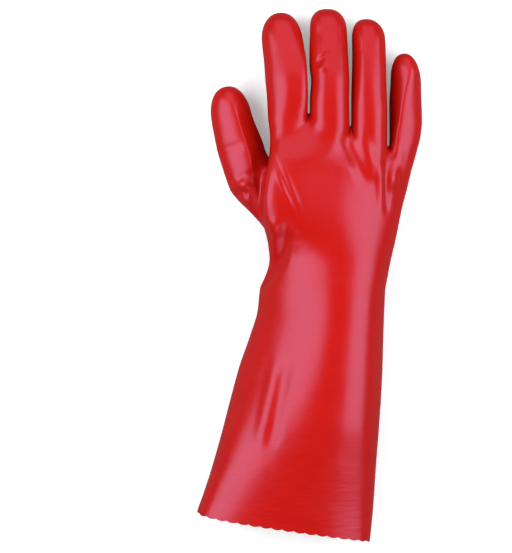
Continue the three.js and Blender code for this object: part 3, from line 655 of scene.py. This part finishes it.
# Texture scales are in repeats for each metre, so 22 is a pattern of about 45 mm.
COAT = {
    "flow": 22.0,  # 45 mm: the coat ran before it was fused, so tint, gloss and surface drift slowly
    "courses": (70.0, 520.0, 70.0),  # 1.9 mm apart and 14 mm long: real ones of 1.2 mm are too fine to show
    "grain": 900.0,  # 1.1 mm: the faint orange peel of a fused coat
    "thicker": "bd1405",  # where more of the paste gathered
    "thinner": "6a0602",  # where the liner's courses tell through
    "roughness": (0.26, 0.34),
    "thin_from": -0.04, "thin_to": -0.19,  # where along the cuff the coat starts to be thin, and is thinnest
    "courses_there": (0.05, 0.2),  # how strongly they show at these two places
    "ior": 1.57,  # PVC is about 1.54, raised a little until the highlights matched
    "mirror_tint": (0.54, 0.46, 0.77, 1.0),  # the cool, dull pink that the highlights have over this red
}
LINER = {
    "courses": 160.0,  # 2 mm apart, coarser than the real 1.2 mm
    "shade": "cfc8ba",
    "roughness": 0.95,
}
PAPER = {
    "grain": 400.0,  # 2.5 mm, and too shallow to show from the camera
    "mirrored": "707070",  # painted shade: the paper as the glove mirrors it, darker than it is, which keeps the glove's edges dark
    "painted_glow": 0.25,  # painted light: how much it glows for the camera alone, so that the glove's shadow round it is lifted to white
    "roughness": 0.9,
}


def dipped_pvc(colour):
    """PVC plastisol that was dipped and fused over a knitted liner. The fused paste gives the eye a smooth,
    semi-gloss, slightly uneven red with broad, soft highlights. Where it ran thin, towards the hem, the
    liner's courses tell through as faint, darker streaks."""
    material, tree, shader = new_material("dipped_pvc")
    place = add_node(tree, "ShaderNodeTexCoord").outputs["Object"]
    flow = add_node(tree, "ShaderNodeTexNoise", links=[(place, "Vector")],
                    inputs={"Scale": COAT["flow"], "Detail": 3.0, "Roughness": 0.5})
    rows = add_node(tree, "ShaderNodeMapping", links=[(place, "Vector")], inputs={"Scale": COAT["courses"]})
    courses = add_node(tree, "ShaderNodeTexNoise", links=[(rows.outputs["Vector"], "Vector")],
                       inputs={"Scale": 1.0, "Detail": 2.0, "Roughness": 0.5})
    grain = add_node(tree, "ShaderNodeTexNoise", links=[(place, "Vector")],
                     inputs={"Scale": COAT["grain"], "Detail": 2.0, "Roughness": 0.6})
    tint = add_node(tree, "ShaderNodeMix", data_type="RGBA", links=[(flow.outputs["Fac"], "Factor")])
    tint.inputs["A"].default_value = linear(colour)
    tint.inputs["B"].default_value = linear(COAT["thicker"])
    gloss = add_node(tree, "ShaderNodeMapRange", links=[(flow.outputs["Fac"], "Value")],
                     inputs={"To Min": COAT["roughness"][0], "To Max": COAT["roughness"][1]})
    along = add_node(tree, "ShaderNodeSeparateXYZ", links=[(place, "Vector")])
    towards_hem = add_node(tree, "ShaderNodeMapRange", links=[(along.outputs["Y"], "Value")], inputs={
        "From Min": COAT["thin_from"], "From Max": COAT["thin_to"],
        "To Min": COAT["courses_there"][0], "To Max": COAT["courses_there"][1]})
    thin_coat = add_node(tree, "ShaderNodeMapRange", links=[
        (courses.outputs["Fac"], "Value"), (towards_hem.outputs["Result"], "To Max")],
        inputs={"From Min": 0.35, "From Max": 0.7})
    shaded = add_node(tree, "ShaderNodeMix", data_type="RGBA",
                      links=[(thin_coat.outputs["Result"], "Factor")])
    tree.links.new(tint.outputs["Result"], shaded.inputs["A"])
    shaded.inputs["B"].default_value = linear(COAT["thinner"])
    sags = add_node(tree, "ShaderNodeBump", links=[(flow.outputs["Fac"], "Height")],
                    inputs={"Strength": 0.5, "Distance": 0.0015})
    knit = add_node(tree, "ShaderNodeBump", inputs={"Distance": 0.0006},
                    links=[(courses.outputs["Fac"], "Height"), (towards_hem.outputs["Result"], "Strength"),
                           (sags.outputs["Normal"], "Normal")])
    orange_peel = add_node(tree, "ShaderNodeBump", links=[(grain.outputs["Fac"], "Height"),
                                                          (knit.outputs["Normal"], "Normal")],
                           inputs={"Strength": 0.03, "Distance": 0.0004})
    tree.links.new(shaded.outputs["Result"], shader.inputs["Base Color"])
    tree.links.new(gloss.outputs["Result"], shader.inputs["Roughness"])
    tree.links.new(orange_peel.outputs["Normal"], shader.inputs["Normal"])
    shader.inputs["IOR"].default_value = COAT["ior"]
    shader.inputs["Specular Tint"].default_value = COAT["mirror_tint"]
    return material


def cotton_knit(colour):
    """Bleached interlock cotton, machine knitted, the liner that the coat is fused to. Its loose fibres give
    the eye a matt off-white with fine courses."""
    material, tree, shader = new_material("cotton_interlock")
    place = add_node(tree, "ShaderNodeTexCoord").outputs["Object"]
    courses = add_node(tree, "ShaderNodeTexWave", links=[(place, "Vector")], bands_direction="Y",
                       inputs={"Scale": LINER["courses"], "Distortion": 2.0, "Detail": 2.0})
    shade = add_node(tree, "ShaderNodeMix", data_type="RGBA", links=[(courses.outputs["Fac"], "Factor")])
    shade.inputs["A"].default_value = linear(LINER["shade"])
    shade.inputs["B"].default_value = linear(colour)
    bump = add_node(tree, "ShaderNodeBump", links=[(courses.outputs["Fac"], "Height")],
                    inputs={"Strength": 0.4, "Distance": 0.0004})
    tree.links.new(shade.outputs["Result"], shader.inputs["Base Color"])
    tree.links.new(bump.outputs["Normal"], shader.inputs["Normal"])
    shader.inputs["Roughness"].default_value = LINER["roughness"]
    return material


def studio_floor(colour):
    """Uncoated white studio paper, pressed from pulp: matt and even to the eye. For the camera alone it
    glows, a painted light that lifts the glove's shadow on it to white. Everything else, the glove's mirrored
    light too, sees a mid grey, a painted shade that keeps the glove's edges dark."""
    material, tree, shader = new_material("studio_paper")
    place = add_node(tree, "ShaderNodeTexCoord").outputs["Object"]
    grain = add_node(tree, "ShaderNodeTexNoise", links=[(place, "Vector")], inputs={"Scale": PAPER["grain"]})
    bump = add_node(tree, "ShaderNodeBump", links=[(grain.outputs["Fac"], "Height")],
                    inputs={"Strength": 0.02, "Distance": 0.0002})
    tree.links.new(bump.outputs["Normal"], shader.inputs["Normal"])
    # painted light and shade: camera rays see the paper glow white over the glove's shadow, and every other
    # ray sees a mid grey that darkens the glove's edges
    ray = add_node(tree, "ShaderNodeLightPath")
    painted_glow = add_node(tree, "ShaderNodeMath", operation="MULTIPLY")
    tree.links.new(ray.outputs["Is Camera Ray"], painted_glow.inputs[0])
    painted_glow.inputs[1].default_value = PAPER["painted_glow"]
    tree.links.new(painted_glow.outputs[0], shader.inputs["Emission Strength"])
    seen = add_node(tree, "ShaderNodeMix", data_type="RGBA", links=[(ray.outputs["Is Camera Ray"], "Factor")])
    seen.inputs["A"].default_value = linear(PAPER["mirrored"])
    seen.inputs["B"].default_value = linear(colour)
    tree.links.new(seen.outputs["Result"], shader.inputs["Base Color"])
    shader.inputs["Roughness"].default_value = PAPER["roughness"]
    return material


class GauntletSizes(bpy.types.PropertyGroup):
    """Sizes of the glove."""

    wall: bpy.props.FloatProperty(
        name="Wall", description="Thickness of coat and liner together, in millimetres",
        default=1.4, min=1, max=3)
    scallops: bpy.props.IntProperty(
        name="Scallops", description="Scallops round the hem", default=36, min=18, max=72)
    scallop_depth: bpy.props.FloatProperty(
        name="Scallop depth", description="Depth of the notches between scallops, in millimetres",
        default=1.1)
    detail: bpy.props.IntProperty(
        name="Detail", description="How finely the grid of back and fingers is parted",
        default=5, min=1, max=6)
    palm_detail: bpy.props.IntProperty(
        name="Palm detail", description="How finely the grid of the palm is parted", default=3, min=1, max=6)


class GauntletColours(bpy.types.PropertyGroup):
    """Colours of the glove and the floor, as sRGB hex values."""

    coat: bpy.props.StringProperty(name="Coat", description="Colour of the PVC coat", default="b60f03")
    liner: bpy.props.StringProperty(name="Liner", description="Colour of the cotton liner", default="e9e4d8")
    floor: bpy.props.StringProperty(name="Floor", description="Colour of the floor", default="fcfdff")


class GauntletStudio(bpy.types.PropertyGroup):
    """Camera and lights."""

    camera_height: bpy.props.FloatProperty(
        name="Camera height", description="Height of the camera over the floor",
        default=2.6, subtype="DISTANCE")
    millimetres_per_pixel: bpy.props.FloatProperty(
        name="Millimetres per pixel", description="Scale of the picture at the glove's upper side",
        default=0.772)
    light_radiance: bpy.props.FloatProperty(
        name="Light", description="Radiance of the softboxes at the sides, where white paper is about 1",
        default=4.3)


class MESH_OT_gauntlet_glove(bpy.types.Operator):
    """Builds the glove: one hollow PVC shell with its fingers, thumb, cuff and scalloped hem."""

    bl_idname = "mesh.gauntlet_glove"
    bl_label = "Glove"

    def execute(self, context):
        sizes, colours = context.scene.gauntlet_sizes, context.scene.gauntlet_colours
        detail = {"rings": sizes.detail, "back": sizes.detail, "palm": sizes.palm_detail}
        skin, hem = glove_skin(detail, sizes.scallops, sizes.scallop_depth)
        mesh = shell_mesh("glove_shell", skin, hem, sizes.wall)
        mesh.materials.append(dipped_pvc(colours.coat))
        mesh.materials.append(cotton_knit(colours.liner))
        glove = bpy.data.objects.new("glove_shell", mesh)
        context.scene.collection.objects.link(glove)
        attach(glove, "root")
        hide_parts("glove")
        return {"FINISHED"}


# The picture's size, and the place of the part's origin in it, in pixels.
IMAGE = {"width": 512, "height": 553, "origin_x": 310, "origin_y": 274.75}
UPPER_SIDE = 28 * MM  # the height that the picture's scale is measured at
SENSOR = 36.0
# Where each softbox hangs round the glove, in degrees from +X and above the floor, and how bright it is.
SOFTBOXES = (
    {"name": "softbox_left", "azimuth": 174, "elevation": 43, "width": 1.6, "height": 1.15, "share": 1.0},
    {"name": "softbox_right", "azimuth": 6, "elevation": 41, "width": 1.6, "height": 1.1, "share": 0.95},
    {"name": "softbox_far", "azimuth": 90, "elevation": 36, "width": 1.5, "height": 1.1, "share": 0.3},
    {"name": "softbox_near", "azimuth": 270, "elevation": 32, "width": 0.8, "height": 0.9, "share": 0.42},
)
SOFTBOX_DISTANCE = 1.5
FLOOR_REACH = 6.0
SKY = {"colour": "ffffff", "strength": 0.05}  # the little light that the room gives back


class SCENE_OT_gauntlet_stage(bpy.types.Operator):
    """Lays the floor, hangs the softboxes and puts the camera straight above the glove."""

    bl_idname = "scene.gauntlet_stage"
    bl_label = "Stage"

    def execute(self, context):
        self.add_floor(context)
        self.add_camera(context)
        self.add_lights(context)
        return {"FINISHED"}

    def add_floor(self, context):
        """A square of paper, level, with the glove lying on it."""
        reach = FLOOR_REACH
        mesh = bpy.data.meshes.new("floor")
        corners = [(-reach, -reach, 0), (reach, -reach, 0), (reach, reach, 0), (-reach, reach, 0)]
        mesh.from_pydata(corners, [], [(0, 1, 2, 3)])
        mesh.materials.append(studio_floor(context.scene.gauntlet_colours.floor))
        floor = bpy.data.objects.new("floor", mesh)
        context.scene.collection.objects.link(floor)

    def add_camera(self, context):
        """Straight above, with the lens that gives the picture's scale at the glove's upper side."""
        studio = context.scene.gauntlet_studio
        pixel = studio.millimetres_per_pixel * MM
        middle_x = (IMAGE["width"] / 2 - IMAGE["origin_x"]) * pixel
        middle_y = (IMAGE["origin_y"] - IMAGE["height"] / 2) * pixel
        data = bpy.data.cameras.new("camera")
        data.sensor_fit = "VERTICAL"
        data.sensor_width = data.sensor_height = SENSOR
        data.lens = SENSOR * (studio.camera_height - UPPER_SIDE) / (IMAGE["height"] * pixel)
        camera = bpy.data.objects.new("camera", data)
        camera.location = (middle_x, middle_y, studio.camera_height)
        context.scene.collection.objects.link(camera)
        context.scene.camera = camera

    def add_lights(self, context):
        """Softboxes turned to the glove, each with the energy that gives its radiance, and a faint sky."""
        radiance = context.scene.gauntlet_studio.light_radiance
        for box in SOFTBOXES:
            data = bpy.data.lights.new(box["name"], "AREA")
            data.shape, data.size, data.size_y = "RECTANGLE", box["width"], box["height"]
            data.energy = radiance * box["share"] * np.pi * box["width"] * box["height"]
            light = bpy.data.objects.new(box["name"], data)
            azimuth, elevation = np.radians(box["azimuth"]), np.radians(box["elevation"])
            level = np.cos(elevation)
            direction = (np.cos(azimuth) * level, np.sin(azimuth) * level, np.sin(elevation))
            light.location = [SOFTBOX_DISTANCE * part for part in direction]
            light.rotation_euler = Vector(light.location).to_track_quat("Z", "Y").to_euler()
            light.visible_camera = False
            context.scene.collection.objects.link(light)
        world = bpy.data.worlds.new("studio")
        world.use_nodes = True
        background = world.node_tree.nodes["Background"]
        background.inputs["Color"].default_value = linear(SKY["colour"])
        background.inputs["Strength"].default_value = SKY["strength"]
        context.scene.world = world
        context.scene.view_settings.view_transform = "Standard"


class VIEW3D_PT_gauntlet(bpy.types.Panel):
    """Lists the sizes, colours and operators."""

    bl_label = "Gauntlet"
    bl_space_type = "VIEW_3D"
    bl_region_type = "UI"
    bl_category = "Gauntlet"

    def draw(self, context):
        for group in ("gauntlet_sizes", "gauntlet_colours", "gauntlet_studio"):
            settings = getattr(context.scene, group)
            for name in settings.__annotations__:
                self.layout.prop(settings, name)
        self.layout.operator("mesh.gauntlet_glove")
        self.layout.operator("scene.gauntlet_stage")


CLASSES = (
    GauntletSizes, GauntletColours, GauntletStudio,
    MESH_OT_gauntlet_glove, SCENE_OT_gauntlet_stage, VIEW3D_PT_gauntlet)


def register():
    """Registers the classes and hangs the settings on the scene."""
    for cls in CLASSES:
        bpy.utils.register_class(cls)
    bpy.types.Scene.gauntlet_sizes = bpy.props.PointerProperty(type=GauntletSizes)
    bpy.types.Scene.gauntlet_colours = bpy.props.PointerProperty(type=GauntletColours)
    bpy.types.Scene.gauntlet_studio = bpy.props.PointerProperty(type=GauntletStudio)


def unregister():
    """Takes away what register adds."""
    del bpy.types.Scene.gauntlet_studio
    del bpy.types.Scene.gauntlet_colours
    del bpy.types.Scene.gauntlet_sizes
    for cls in reversed(CLASSES):
        bpy.utils.unregister_class(cls)


def main():
    """Builds the glove and the stage."""
    register()
    bpy.ops.mesh.gauntlet_glove()
    bpy.ops.scene.gauntlet_stage()


if __name__ == "__main__":
    main()
